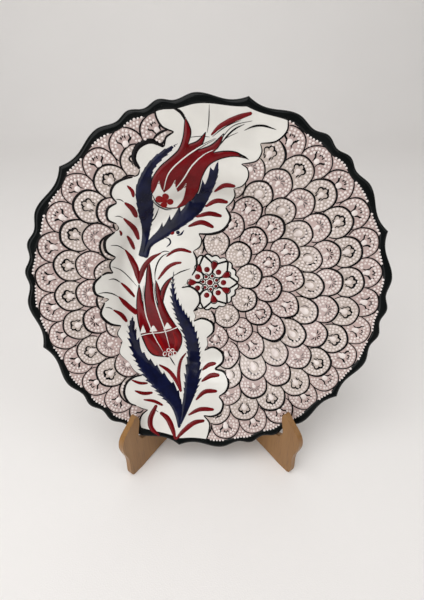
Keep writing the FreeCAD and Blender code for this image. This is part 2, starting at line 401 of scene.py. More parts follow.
FIRED_GLAZE = fired_glaze_group()


def finish(name, group, inputs, coat=0.0, metal=0.0, bump=0.0002, specular=0.5):
    """A material that wears a finish group."""
    material = bpy.data.materials.new(name)
    material.use_nodes = True
    tree = material.node_tree
    shader = tree.nodes["Principled BSDF"]
    worn = add(tree, "ShaderNodeGroup", node_tree=group)
    for key, value in inputs.items():
        worn.inputs[key].default_value = value
    height = worn.outputs["Height"]
    relief = add(tree, "ShaderNodeBump", {"Height": height, "Strength": 0.6, "Distance": bump})
    tree.links.new(worn.outputs["Colour"], shader.inputs["Base Color"])
    tree.links.new(worn.outputs["Roughness"], shader.inputs["Roughness"])
    tree.links.new(relief.outputs[0], shader.inputs["Normal"])
    shader.inputs["Coat Weight"].default_value = coat
    shader.inputs["Coat Roughness"].default_value = 0.06
    shader.inputs["Metallic"].default_value = metal
    shader.inputs["Specular IOR Level"].default_value = specular
    return material


def glaze(name, thick, thin, gloss=0.14, pool=45.0, ripple=0.5, coat=0.3, specular=0.5):
    """A fired finish in a thick and a thin tone."""
    inputs = {"Thick": (*thick, 1), "Thin": (*thin, 1), "Gloss": gloss, "Pool size": pool, "Ripple": ripple}
    return finish(name, FIRED_GLAZE, inputs, coat, specular=specular)


BARE_BLACK = {"coat": 0.0}
ENAMEL_FILM = {"coat": 0.05, "specular": 0.18}
ivory = glaze("ivory_glaze", (0.72, 0.70, 0.655), (0.66, 0.64, 0.60))
rim_black = glaze("rim_black_glaze", (0.002, 0.003, 0.003), (0.005, 0.006, 0.006), gloss=0.10,
                  specular=0.15, **BARE_BLACK)
line_black = glaze("line_black", (0.002, 0.0015, 0.002), (0.006, 0.005, 0.005), gloss=0.2, pool=160.0,
                   specular=0.1, **BARE_BLACK)
faded_black = glaze("faded_black", (0.06, 0.05, 0.05), (0.16, 0.135, 0.13), gloss=0.25, pool=200.0,
                    **BARE_BLACK)
slip_dot = glaze("slip_dots", (0.78, 0.70, 0.67), (0.68, 0.595, 0.565), gloss=0.16, pool=30.0, ripple=0.2)
pink_ground = glaze("pink_ground", (0.47, 0.355, 0.33), (0.41, 0.305, 0.285), gloss=0.2)
grey_ground = glaze("grey_ground", (0.50, 0.42, 0.375), (0.43, 0.36, 0.32), gloss=0.2)
deep_red = glaze("deep_red_enamel", (0.10, 0.0006, 0.002), (0.155, 0.001, 0.004), pool=90.0, **ENAMEL_FILM)
bright_red = glaze("bright_red_enamel", (0.17, 0.001, 0.002), (0.24, 0.002, 0.003), pool=90.0, **ENAMEL_FILM)
cobalt = glaze("cobalt_enamel", (0.0015, 0.002, 0.014), (0.003, 0.005, 0.032), pool=110.0, **ENAMEL_FILM)
print("fired finishes:", len(bpy.data.materials))

# %% [markdown]
# ## The ceramic body
# The CAD plate is right in size, but its lip and foot are sharp. A glazed plate has soft lips,
# because glaze runs back from every edge. So the body is made again from the same two profiles,
# with a rounded lip all round the scallops and a rounded foot ring, and it replaces the CAD node.

# %% Turn the body
RING_OUTER, RING_INNER, RING_FOOT, UNDERSIDE = 80.0, 74.0, -41.0, -35.0
AROUND = 720
LIP_STEPS = 10
LIP_ROOT = 2.4                # where the lip's thickness is taken, in from the rim
FLANGE_START = 122            # where the rows change from the well's spacing to the flange's


def lip(radius, grow=0.0, steps=LIP_STEPS):
    """The rounded lip at one angle, from front to back, grown outwards by grow."""
    half = (front_height(radius - LIP_ROOT) - back_height(radius - LIP_ROOT)) / 2
    centre_z = (front_height(radius - half) + back_height(radius - half)) / 2
    turn = np.linspace(0, math.pi, steps)
    return radius - half + (half + grow) * np.sin(turn), centre_z + (half + grow) * np.cos(turn), half


def rounded_corner(r, z, size, start, steps=4):
    """A quarter round, with its middle at r, z, from the angle start, clockwise in degrees."""
    turn = np.radians(start - np.linspace(0, 90, steps))
    return r + size * np.cos(turn), z + size * np.sin(turn)


def body_section(radius):
    """The whole cross-section from the front's middle, over the lip, to the back's middle."""
    lip_r, lip_z, half = lip(radius)
    well = np.concatenate((np.linspace(6, 60, 7), np.arange(64, FLANGE_START, 1.5)))
    flange = np.linspace(FLANGE_START, radius - half, 20)
    front_r = np.concatenate((well, flange[1:-1]))
    back_r = np.concatenate((np.linspace(radius - half, FLANGE_START, 12)[1:], np.arange(120, 82, -2.0)))
    soft = 1.6
    outer_r, outer_z = rounded_corner(RING_OUTER - soft, RING_FOOT + soft, soft, 0)
    inner_r, inner_z = rounded_corner(RING_INNER + soft, RING_FOOT + soft, soft, -90)
    floor_r = np.array((RING_INNER - 0.4, RING_INNER - 2.0, 60.0, 40.0, 20.0, 6.0))
    r = np.concatenate((front_r, lip_r, back_r, (RING_OUTER + 0.6, RING_OUTER), outer_r, inner_r,
                        (RING_INNER,), floor_r))
    z = np.concatenate((front_height(front_r), lip_z, back_height(back_r), (-31.2, -33.0), outer_z, inner_z,
                        (UNDERSIDE - 1.2,), (UNDERSIDE - 0.2,), np.full(5, UNDERSIDE)))
    return r, z


clocks = RIM_TURN + np.arange(AROUND) * 360.0 / AROUND
rows = []
for clock in clocks:
    section_r, section_z = body_section(rim_radius(clock))
    angle = math.radians(clock)
    rows.append(np.column_stack((section_r * math.sin(angle), section_r * math.cos(angle), section_z)))
columns = len(rows[0])
body_points = np.vstack((*rows, [(0, 0, front_height(0.0)), (0, 0, UNDERSIDE)])) * MM
top, bottom = len(body_points) - 2, len(body_points) - 1
body_faces = grid_faces(AROUND, columns, closed=True)
for i in range(AROUND):
    following = (i + 1) % AROUND
    body_faces.append((top, i * columns, following * columns))
    body_faces.append((bottom, following * columns + columns - 1, i * columns + columns - 1))
plate = make_piece("glazed_plate", [(body_points, body_faces)], ivory, sharp=60.0)
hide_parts("plate")

# %% Bore the two hanging holes through the foot ring
cutters = []
for side in ("left", "right"):
    hole = mounts[f"hanging_hole_{side}"]
    out = Vector(hole["axis"])
    bpy.ops.mesh.primitive_cylinder_add(radius=hole["dims"]["r_mm"] * MM, depth=0.014, vertices=24)
    cutter = bpy.context.object
    turned_out = out.to_track_quat("Z", "Y").to_matrix().to_4x4()
    cutter.matrix_world = Matrix.Translation(Vector(hole["pos_m"]) - out * 0.003) @ turned_out
    cutters.append(cutter)
    bore = plate.modifiers.new("bore", "BOOLEAN")
    bore.object = cutter
    bore.solver = "FAST"
bpy.context.view_layer.update()
bored = bpy.data.meshes.new_from_object(plate.evaluated_get(bpy.context.evaluated_depsgraph_get()))
plate.modifiers.clear()
plate.data = bored
for cutter in cutters:
    bpy.data.objects.remove(cutter)
print("bored plate:", len(bored.vertices), "points")

# %% [markdown]
# ## The black rim
# The rim is painted with a full brush, so the black wraps the lip and ends in an uneven line about
# six millimetres in. Its inner line only half follows the scallops. It is a thin shell over the
# body's lip, with both borders feathered down to the glaze.

# %% Wrap the rim
BAND_LIFT = 0.5
BAND_EDGE = 141.6             # the middle radius of the black's inner line


def band_inner(clock):
    """Where the black ends on the front, at degrees clockwise from the top."""
    clock = np.asarray(clock, float)
    hand = 0.4 * np.sin(np.radians(clock * 7)) + 0.3 * np.sin(np.radians(clock * 17 + 40))
    return BAND_EDGE + 0.4 * (rim_radius(clock) - 147.5) + hand


def feather(count):
    """Lifts across a band, with both ends down on the glaze."""
    ends = np.minimum(np.arange(count), np.arange(count)[::-1])
    return np.clip(ends / 2.0, 0.05, 1.0)


band_rows = []
for clock in clocks:
    radius = rim_radius(clock)
    lip_r, lip_z, half = lip(radius, BAND_LIFT, 12)
    front_r = np.linspace(band_inner(clock), radius - half, 10)[:-1]
    back_r = np.linspace(radius - half, radius - 7.0, 8)[1:]
    r = np.concatenate((front_r, lip_r, back_r))
    rise = feather(len(r)) * BAND_LIFT
    front_z = front_height(front_r) + rise[:len(front_r)]
    back_z = back_height(back_r) - rise[-len(back_r):]
    z = np.concatenate((front_z, lip_z, back_z))
    angle = math.radians(clock)
    band_rows.append(np.column_stack((r * math.sin(angle), r * math.cos(angle), z)) * MM)
make_piece("black_rim", [(np.vstack(band_rows), grid_faces(AROUND, len(band_rows[0]), closed=True))],
           rim_black, sharp=60.0)

# %% [markdown]
# ## Laying out the fish scales
# The ground is seven rings of round scales, each ring on top of the one outside it, as on a fish.
# For every ring the painter chose how far out it reaches and how many scales go round. The size of
# a scale follows from those two, because neighbours just touch.

# %% Rings of scales
# how far out, how many, turn in degrees, ground, motif
RINGS = (
    (142.0, 32, 6.0, pink_ground, "bud"),
    (128.5, 28, 2.4, grey_ground, "flower"),
    (112.0, 26, 2.2, pink_ground, "spray"),
    (97.0, 23, -0.3, grey_ground, "moon"),
    (82.0, 18, 2.4, pink_ground, "bud"),
    (64.5, 14, -7.5, pink_ground, "flower"),
    (46.5, 10, 8.0, grey_ground, "spray"),
)
RING_STEP = 0.04              # how much each ring stands above the one outside it


def ring_layout(reach, count, turn):
    """The scales' radius, and the middles and outward angles of one ring."""
    size = math.pi * reach / (count + math.pi)
    angles = np.radians(turn + np.arange(count) * 360.0 / count)
    middles = (reach - size) * unit(angles)
    return size, middles, angles


layouts = [ring_layout(*ring[:3]) for ring in RINGS]
TOP_LAYER = len(RINGS)        # stands above every ring
print("scales:", sum(len(middles) for _, middles, _ in layouts),
      "sizes:", [round(size, 1) for size, *_ in layouts])

# %% [markdown]
# ## The open panel and the rosette
# A white panel with a lobed border runs down the plate and holds the two tulips. Its border is a
# chain of round lobes that meet in points, so we give each lobe a few points and its own line
# weight. Beside it sits a seven-petalled rosette. Both are laid out now, because no scale may be
# painted under them.

# %% The panel's border
# each lobe: its line's width, then its points, from top right round to top left
PANEL_LOBES = (
    (1.2, ((58, 134), (58.5, 124), (51, 116.5), (39, 115))),
    (1.0, ((39, 115), (40.5, 109), (37, 102.5), (25, 100))),
    (1.0, ((25, 100), (30, 96.5), (31, 90), (27, 83.5), (20, 81))),
    (1.1, ((20, 81), (21.5, 75), (19, 69.5), (14, 65))),
    (2.2, ((14, 65), (18, 56), (12.5, 46.5), (2, 42.8), (-9, 43))),
    (1.0, ((-9, 43), (-6.5, 38), (-8, 32), (-14, 28))),
    (1.7, ((-14, 28), (-11.3, 22), (-11.2, 14), (-15.5, 6))),
    (0.4, ((-15.5, 6), (-18.5, 1), (-24.7, -4.7))),
    (1.8, ((-24.7, -4.7), (-17, -3.9), (-10, -9.5), (-8.8, -18.5), (-14.7, -27))),
    (0.5, ((-14.7, -27), (-12.8, -31.5), (-14.7, -36.5))),
    (2.0, ((-14.7, -36.5), (-7, -33.8), (2.4, -38.3), (3.2, -46.5), (-2.9, -53))),
    (0.6, ((-2.9, -53), (-2, -59.5), (-5.3, -65.3))),
    (2.0, ((-5.3, -65.3), (3, -62.2), (11.4, -68), (12, -75.5), (4.1, -81.2))),
    (1.8, ((4.1, -81.2), (13, -83.2), (16.6, -90.6), (14.3, -98), (7.6, -102.9))),
    (1.8, ((7.6, -102.9), (11.4, -109), (9.2, -117), (1.6, -120.8), (-6.5, -120))),
    (1.3, ((-6.5, -120), (-1.2, -127), (-2, -136), (-5.5, -145))),
    (0.3, ((-5.5, -145.5), (-34, -141.5), (-62, -131.5))),
    (1.3, ((-62, -132), (-64.2, -124), (-62.2, -117), (-56.5, -112.4))),
    (0.7, ((-56.5, -112.4), (-61.5, -111), (-66.5, -108.2))),
    (2.0, ((-66.5, -108.2), (-73, -104.8), (-77, -96.5), (-75, -87), (-68.5, -82), (-60.6, -80.6))),
    (0.5, ((-60.6, -80.6), (-67.5, -76), (-72, -68))),
    (0.5, ((-72, -68), (-79.5, -59), (-77, -49))),
    (0.6, ((-77, -49), (-81, -42), (-78, -36))),
    (1.9, ((-78, -36), (-87, -32), (-93.4, -23), (-90, -13))),
    (0.6, ((-90, -13), (-87, -11), (-90, -8.9))),
    (2.0, ((-90, -8.9), (-96.5, -4.5), (-97, 4), (-90.7, 10.7))),
    (1.6, ((-90.7, 10.7), (-86.8, 12.3), (-82.1, 11.4))),
    (1.0, ((-82.1, 11.4), (-84, 16.4), (-83.2, 21.2), (-79, 25))),
    (2.0, ((-79, 25), (-85.4, 31.5), (-85, 41), (-77, 47.5))),
    (0.6, ((-77, 47.5), (-74, 50), (-75, 54))),
    (1.8, ((-75, 54), (-81.3, 58), (-80.5, 66.5), (-73, 71))),
    (1.8, ((-73, 71), (-77, 77.5), (-74, 85), (-67, 89), (-58.9, 90.8))),
    (0.8, ((-58.9, 90.8), (-55, 92.5), (-53.2, 96.6))),
    (3.6, ((-53.2, 96.6), (-57, 104.5), (-53.7, 112.6), (-44, 116.8), (-33.7, 112.9))),
    (1.3, ((-33.7, 112.9), (-32, 119.5), (-25.8, 123.4))),
    (1.4, ((-25.8, 123.4), (-34.5, 127), (-38.6, 134), (-39, 141))),
    (0.3, ((-39, 140.5), (10, 145.5), (58, 134))),
)
panel_lines = [curve_through(points, 0.8) for _, points in PANEL_LOBES]
panel_border = np.vstack([line[:-1] for line in panel_lines])
reach = np.hypot(*panel_border.T)
limit = band_inner(np.degrees(np.arctan2(panel_border[:, 0], panel_border[:, 1]))) + 0.3
panel_border *= np.minimum(1.0, limit / reach)[:, None]
panel_border = panel_border[np.hypot(*(panel_border - np.roll(panel_border, 1, axis=0)).T) > 0.2]
print("panel border:", len(PANEL_LOBES), "lobes,", len(panel_border), "points")

# %% The rosette's border
PETALS = 7
ROSETTE_MIDDLE = np.array((0.4, -0.2))
PETAL_TURN = -1.0             # the direction of the petal that points right, in degrees
PETAL_TIP = 25.0


def rosette_edge(angle):
    """The wavy edge round the rosette: three small bumps between each two petal tips."""
    step = (math.degrees(angle) - PETAL_TURN) % (360 / PETALS) / (360 / PETALS)
    bump = abs(math.sin(3 * math.pi * step))
    return 24.3 + 1.8 * bump - 1.2 * math.sin(math.pi * step)


turns = np.radians(np.arange(0, 360, 1.5))
rosette_border = ROSETTE_MIDDLE + np.array([
    (rosette_edge(t) * math.cos(t), rosette_edge(t) * math.sin(t)) for t in turns])


def hidden(points, ring, margin):
    """True where later rings, the rosette, the panel or the black rim lie over a point of a ring."""
    covered = distance_to(points, panel_border) < margin
    covered |= inside(points, panel_border)
    covered |= inside(points, rosette_border) | (distance_to(points, rosette_border) < margin)
    for size, middles, _ in layouts[ring + 1:]:
        for centre in middles:
            covered |= np.hypot(*(points - centre).T) < size + margin
    edge = band_inner(np.degrees(np.arctan2(points[:, 0], points[:, 1])))
    return covered | (np.hypot(*points.T) > edge + 0.4)


# %% [markdown]
# ## Painting the scales
# Each scale is a thin shingle of tinted glaze, a black arc that swells at its outer side, two or
# three rows of slip dots, and a small flower in the middle. Lines and dots that a scale nearer the
# middle would cover are left out, just as the painter stops the brush there.

# %% Shingles
DISC_RINGS, DISC_AROUND = 8, 40


def shingle(centre, size, lift):
    """One round scale, draped on the dish."""
    turn = np.linspace(0, 2 * math.pi, DISC_AROUND, endpoint=False)
    reach = size * np.arange(1, DISC_RINGS + 1) / DISC_RINGS
    xy = centre + (reach[:, None, None] * np.stack((np.cos(turn), np.sin(turn)), -1)[None]).reshape(-1, 2)
    lifts = np.full(len(xy), lift)
    lifts[-DISC_AROUND:] = 0.0
    points = np.vstack((on_plate(xy, lifts), on_plate([centre], lift)))
    faces = []
    for j in range(DISC_AROUND):
        k = (j + 1) % DISC_AROUND
        faces.append((len(xy), j, k))
        for start in range(0, (DISC_RINGS - 1) * DISC_AROUND, DISC_AROUND):
            after = start + DISC_AROUND
            faces.append((start + j, after + j, after + k, start + k))
    return points, faces


bed_clocks = np.radians(np.arange(0, 360, 1.0))
bed_rows = []
for reach in np.append(np.arange(20.0, 136.0, 2.0), np.nan):
    radii = band_inner(np.degrees(bed_clocks)) + 0.4 if np.isnan(reach) else np.full(360, reach)
    bed_rows.append(radii[:, None] * np.column_stack((np.sin(bed_clocks), np.cos(bed_clocks))))
bed = np.stack(bed_rows, 1).reshape(-1, 2)
make_piece("scale_bed", [(on_plate(bed, 0.02), grid_faces(360, len(bed_rows), closed=True))], pink_ground)
for number, ((reach, count, turn, ground, motif), (size, middles, angles)) in enumerate(zip(RINGS, layouts)):
    shown = ~inside(middles, panel_border) | (distance_to(middles, panel_border) < size)
    shingles = [shingle(centre, size * 0.995, RING_STEP * (number + 1)) for centre in middles[shown]]
    make_piece(f"scale_ground_{number + 1}", shingles, ground, sharp=80.0)


# %% Black arcs
def visible_runs(line, covered, least=3):
    """The stretches of a line that nothing covers."""
    runs, current = [], []
    for point, is_covered in zip(line, covered):
        if is_covered:
            runs.append(current)
            current = []
        else:
            current.append(point)
    return [np.array(run) for run in (*runs, current) if len(run) >= least]


def paint_visible(lines, weights, number, margin, lift, height, least=3):
    """Brush lines of one ring, each with its widths, wherever nothing covers them."""
    covered = hidden(np.vstack(lines), number, margin)
    sheets, start = [], 0
    for line, widths in zip(lines, weights):
        for run in visible_runs(line, covered[start:start + len(line)], least):
            sheets.append(brush_line(run, widths, lift, height))
        start += len(line)
    return sheets


arcs = []
for number, (size, middles, angles) in enumerate(layouts):
    lines, weights = [], []
    for centre, angle in zip(middles, angles):
        turn = angle + np.radians(np.linspace(-150, 150, 84))
        wobble = size + 0.18 * np.sin(turn * 5 + chance.uniform(0, 6))
        lines.append(centre + wobble[:, None] * unit(turn))
        full = chance.uniform(1.2, 2.0) if number else chance.uniform(0.9, 1.5)
        weights.append((0.8, full, full, 0.8))
    arcs += paint_visible(lines, weights, number, 0.1, RING_STEP * (number + 1), 0.3)
make_piece("scale_outlines", arcs, line_black)

# %% Slip dots
DOT_POINTS = 8
DOT_SIZE = 1.12
DOT_PITCH = 2.75


def dots(places, sizes, lift, height):
    """Many small domes of slip in one sheet."""
    circle = unit(np.linspace(0, 2 * math.pi, DOT_POINTS, endpoint=False))
    levels = ((1.0, 0.0), (0.8, 0.62))
    template = np.vstack([circle * share for share, _ in levels] + [np.zeros((1, 2))])
    rise = np.concatenate([np.full(DOT_POINTS, up) for _, up in levels] + [[1.0]])
    sizes = np.asarray(sizes)
    xy = np.asarray(places)[:, None, :] + template[None] * sizes[:, None, None]
    tall = lift + height * rise[None] * (sizes / DOT_SIZE)[:, None]
    faces = []
    for i in range(len(places)):
        s = i * len(template)
        for j in range(DOT_POINTS):
            k = (j + 1) % DOT_POINTS
            faces.append((s + j, s + k, s + DOT_POINTS + k, s + DOT_POINTS + j))
            faces.append((s + DOT_POINTS + j, s + DOT_POINTS + k, s + 2 * DOT_POINTS))
    return on_plate(xy.reshape(-1, 2), tall.ravel()), faces


def dot_rows(centre, angle, size):
    """Places of a scale's dots: full rows inside its edge, then a half row behind the flower."""
    found = []
    for inset, spread in ((2.2, 180), (4.8, 180), (7.3, 90)):
        reach = size - inset
        steps = int(2 * math.radians(spread) * reach / DOT_PITCH)
        offset = chance.uniform(0, 1)
        for i in range(steps):
            turn = angle + math.pi + math.radians(spread) * (2 * (i + offset) / steps - 1)
            jitter = chance.uniform(-0.3, 0.3)
            turn += chance.uniform(-0.35, 0.35) / reach
            found.append(centre + (reach + jitter) * np.array((math.cos(turn), math.sin(turn))))
    return np.array(found)


total_dots = 0
for number, (size, middles, angles) in enumerate(layouts):
    places = np.vstack([dot_rows(centre, angle, size) for centre, angle in zip(middles, angles)])
    places = places[~hidden(places, number, 1.6)]
    if number == 0:
        beat = np.arange(0, 360, 1.125)
        clock = np.concatenate((beat, beat + 0.56, beat))
        reach = band_inner(clock) - np.repeat((-0.3, 2.2, 4.7), len(beat))
        gaps = reach[:, None] * np.column_stack((np.sin(np.radians(clock)), np.cos(np.radians(clock))))
        gaps = gaps[~hidden(gaps, -1, 1.3)]
        places = np.vstack((places, gaps))
    sizes = [DOT_SIZE * chance.uniform(0.82, 1.12) for _ in places]
    total_dots += len(places)
    sheet = dots(places, sizes, RING_STEP * number, 0.8)
    make_piece(f"slip_dots_{number + 1}", [sheet], slip_dot)
print("slip dots:", total_dots)


# %% [markdown]
# ## The small flowers
# Four little brush motifs repeat, one per ring: a bud with two horns, a scalloped flower, a spray of
# thin leaves and a crescent. Each is drawn once, in millimetres, with x pointing out from the
# plate's middle, and is then turned and moved into its scale.

# %% Motifs
def scalloped_flower():
    """An open line of rounded scallops."""
    turn = np.radians(np.linspace(-145, 145, 36))
    reach = 3.7 + 1.5 * np.abs(np.sin(turn * 2.5 + math.pi / 2))
    return reach[:, None] * unit(turn)


def pair(width, points):
    """A line, and the same line on the other side of the motif."""
    return (width, points), (width, tuple((x, -y) for x, y in points))


# each line: its fullest width and its points
MOTIFS = {
    "bud": (
        *pair(1.4, ((-1.5, 1.8), (0.4, 3.0), (2.2, 5.2), (4.4, 4.9), (4.6, 3.4))),
        (1.1, ((2.4, 2.0), (4.2, 1.5), (5.4, 2.4))), (1.1, ((2.6, -1.7), (4.3, -1.4), (5.3, -2.2))),
        (1.2, ((3.6, 0.0), (5.9, 0.1))),
        *pair(0.9, ((-5.0, 3.1), (-2.0, 2.3), (0.2, 3.6))),
    ),
    "flower": (
        (1.6, scalloped_flower()),
        *pair(1.1, ((-5.6, 2.2), (-3.4, 2.2), (-2.2, 3.6))),
        *pair(0.9, ((1.6, 1.4), (3.0, 2.4))),
    ),
    "spray": tuple(
        (0.95, ((1.6 * math.cos(a), 1.6 * math.sin(a)), (3.6 * math.cos(a * 1.1), 3.6 * math.sin(a * 1.1)),
                (5.6 * math.cos(a * 1.3), 5.6 * math.sin(a * 1.3))))
        for a in (-1.4, -0.85, -0.3, 0.25, 0.8, 1.35)),
    "moon": (
        (1.4, tuple((5.2 * math.cos(a), 5.2 * math.sin(a)) for a in (-2.6, -1.8, -0.9, 0.0, 0.8))),
        (0.9, tuple((4.4 * math.cos(a) - 0.8, 4.4 * math.sin(a) + 0.4) for a in (0.9, 1.7, 2.6))),
    ),
}
PALE = {"bud": 0.0, "flower": 0.0, "spray": 0.7, "moon": 0.35}   # how often a motif is painted thin and grey
PEARL_SIZE = {"bud": 2.5, "flower": 2.3, "spray": 1.9, "moon": 3.0}

dark_lines, pale_lines, pearl_sheets = [], [], []
for number, (ring, (size, middles, angles)) in enumerate(zip(RINGS, layouts)):
    motif = ring[4]
    lift = RING_STEP * (number + 1)
    drawn = {"dark": ([], []), "pale": ([], [])}
    outward = unit(angles)
    hearts = middles + outward * 2.2
    for heart, angle in zip(hearts, angles):
        tilt = angle + chance.uniform(-0.3, 0.3)
        turn = np.array(((math.cos(tilt), math.sin(tilt)), (-math.sin(tilt), math.cos(tilt))))
        lines, weights = drawn["pale" if chance.random() < PALE[motif] else "dark"]
        for width, points in MOTIFS[motif]:
            lines.append(curve_through(heart + np.array(points) @ turn, 0.6))
            weight = width * chance.uniform(0.8, 1.25)
            weights.append((0.4, weight, weight * 0.9, 0.4))
    for shade, painted in (("dark", dark_lines), ("pale", pale_lines)):
        if drawn[shade][0]:
            painted += paint_visible(*drawn[shade], number, 0.4, lift, 0.2, least=2)
    shown = ~hidden(hearts, number, 1.5)
    pearls = (hearts - outward * 0.8)[shown]
    pearl_sizes = [PEARL_SIZE[motif] * chance.uniform(0.85, 1.1) for _ in pearls]
    pearl_sheets.append(dots(pearls, pearl_sizes, lift, 0.3))
    tails = pearls - outward[shown] * 2.3
    clear = ~hidden(tails, number, 1.5)
    pearl_sheets.append(dots(tails[clear], np.array(pearl_sizes)[clear] * 0.62, lift, 0.3))
make_piece("motif_lines", dark_lines, line_black)
make_piece("faded_motif_lines", pale_lines, faded_black)
make_piece("motif_pearls", pearl_sheets, slip_dot)

# %% [markdown]
# ## The panel
# The panel is a smooth bed of white glaze, a little proud of the scales, and its border is a black
# line that swells on every lobe. A patch like this is filled with a Delaunay mesh: the border's
# points and a regular grid inside it, all laid on the dish.

# %% Bed and border line
PANEL_LIFT = 0.42
make_piece("white_panel", [filled(panel_border, PANEL_LIFT, 0.0, 1.0, skirt=True)], ivory)
BORDER_SWELL = np.array((0.6, 1.15, 1.3, 1.15, 0.6))
border_lines = [brush_line(line, width * BORDER_SWELL, 0.18, 0.6)
                for (width, _), line in zip(PANEL_LOBES, panel_lines) if width > 0.3]
make_piece("panel_outline", border_lines, line_black)

# %% [markdown]
# ## The rosette
# Seven pointed petals with a red dot at each heart, red tongues between them, and seven tiny
# florets round a red centre. One petal and one tongue are drawn pointing right, then turned.

# %% Petals, tongues and florets
ROSETTE_LIFT = 0.32
PETAL = ((6.0, 0.0), (8.0, 3.2), (12.0, 5.5), (16.0, 5.9), (20.0, 3.6), (PETAL_TIP, 0.0))
TONGUE = ((9.5, 0.0), (12.5, 1.3), (15.2, 2.7), (17.4, 2.9), (18.9, 1.8), (19.4, 0.0))
TONGUE_END = ((16.4, 3.3), (18.9, 2.5), (20.0, 0.0), (18.9, -2.5), (16.4, -3.3))


def mirrored(points):
    """Both halves of a shape that is symmetric about the x axis."""
    upper = curve_through(points, 0.6)
    return np.vstack((upper, (upper * (1, -1))[::-1][1:-1]))


def turned(points, degrees):
    """Points drawn for the rosette pointing right, turned round its middle."""
    a = math.radians(degrees)
    turn = np.array(((math.cos(a), math.sin(a)), (-math.sin(a), math.cos(a))))
    return ROSETTE_MIDDLE + np.asarray(points, float) @ turn


PATCH_POINTS = 28


def round_patch(centre, radius, lift, height):
    """A round cushion of paint."""
    turn = np.linspace(0, 2 * math.pi, PATCH_POINTS, endpoint=False)
    return filled(np.array(centre) + radius * unit(turn), lift, height, radius, pitch=0.9)


def clear_of_panel(points):
    """True if no point lies on the panel."""
    return not inside(np.atleast_2d(points), panel_border).any()


rosette_white, rosette_red, rosette_black = [], [], []
rosette_white.append(filled(rosette_border, ROSETTE_LIFT, 0.0, 1.0, skirt=True))
for index in range(PETALS):
    toward = PETAL_TURN + index * 360 / PETALS
    between = toward + 180 / PETALS
    half = curve_through(PETAL, 0.6)
    for side in (1, -1):
        line = turned(half * (1, side), toward)
        for run in visible_runs(line, hidden(line, TOP_LAYER, -1.0) & inside(line, panel_border)):
            rosette_black.append(brush_line(run, (0.9, 1.5, 1.6, 2.0), ROSETTE_LIFT, 0.3))
    heart = turned([(12.0, 0.0)], toward)[0]
    if clear_of_panel(heart):
        rosette_red.append(round_patch(heart, 2.5, ROSETTE_LIFT, 0.35))
    tongue = turned(mirrored(TONGUE), between)
    if clear_of_panel(turned([(16.0, 0.0)], between)[0]):
        rosette_red.append(filled(tongue, ROSETTE_LIFT, 0.4, 1.6, pitch=0.9))
        end_line = turned(curve_through(TONGUE_END, 0.6), between)
        rosette_black.append(brush_line(end_line, (0.5, 1.0, 0.5), ROSETTE_LIFT, 0.3))
    floret = turned([(6.2, 0.0)], toward + 20)[0]
    rosette_red.append(round_patch(floret, 1.5, ROSETTE_LIFT + 0.12, 0.3))
    rosette_white.append(round_patch(floret, 2.6, ROSETTE_LIFT + 0.02, 0.12))
    ring = floret + 2.6 * unit(turns[::8])
    rosette_black.append(brush_line(np.vstack((ring, ring[:1])), (0.9, 0.9), ROSETTE_LIFT, 0.3))
rosette_red.append(round_patch(ROSETTE_MIDDLE, 2.6, ROSETTE_LIFT, 0.4))
edge_line = np.vstack((rosette_border, rosette_border[:1]))
for run in visible_runs(edge_line, inside(edge_line, panel_border)):
    rosette_black.append(brush_line(run, (1.0, 1.6, 0.8, 1.6, 1.0), ROSETTE_LIFT, 0.3))
make_piece("rosette_bed", rosette_white, ivory)
make_piece("rosette_red", rosette_red, deep_red)
make_piece("rosette_lines", rosette_black, line_black)

# %% [markdown]
# ## The tulips
# The red is laid on thickly, so each bulb is a cushion of enamel with soft shoulders. A bulb is an
# outline made of a few smooth sides that meet in sharp tips. White slits part its petals, and fine
# black lines trail from the tips.

# %% Shapes with sharp tips
ENAMEL = 0.42                 # enamel starts on the panel's surface
ENAMEL_RISE = 0.5


def outline_of(*sides, step=0.9):
    """A closed outline out of smooth sides that meet in corners."""
    lines = [curve_through(side, step)[:-1] for side in sides]
    outline = np.vstack(lines)
    return outline[np.hypot(*(outline - np.roll(outline, 1, axis=0)).T) > 0.15]


def enamel(*sides, rise=ENAMEL_RISE, edge=2.2, lift=ENAMEL):
    """A cushion of enamel between sides."""
    return filled(outline_of(*sides), lift, rise, edge, pitch=1.3)


# %% The upper tulip
UPPER_BULB = (
    ((-46.3, 81.3), (-44.2, 89.7), (-37.9, 98.2), (-29.5, 105), (-23.2, 110.8), (-19.5, 119), (-17.4, 133.9)),
    ((-17.4, 133.9), (-13.4, 124), (-15.6, 114.5)),
    ((-15.6, 114.5), (-8.5, 117), (-2.1, 123.4)),
    ((-2.1, 123.4), (-4.6, 115.5), (-8.6, 110.4)),
    ((-8.6, 110.4), (2, 114.2), (11.6, 122.4)),
    ((11.6, 122.4), (8, 113.6), (3.2, 108.6)),
    ((3.2, 108.6), (12.6, 109.6), (21.1, 108.7), (30, 103.9)),
    ((30, 103.9), (20, 105.7), (9, 104), (0, 99.2), (-5.6, 90), (-9, 78.5), (-16.8, 69), (-26, 64.6)),
    ((-26, 64.6), (-35, 65), (-42.5, 69.8), (-46.3, 81.3)),
)

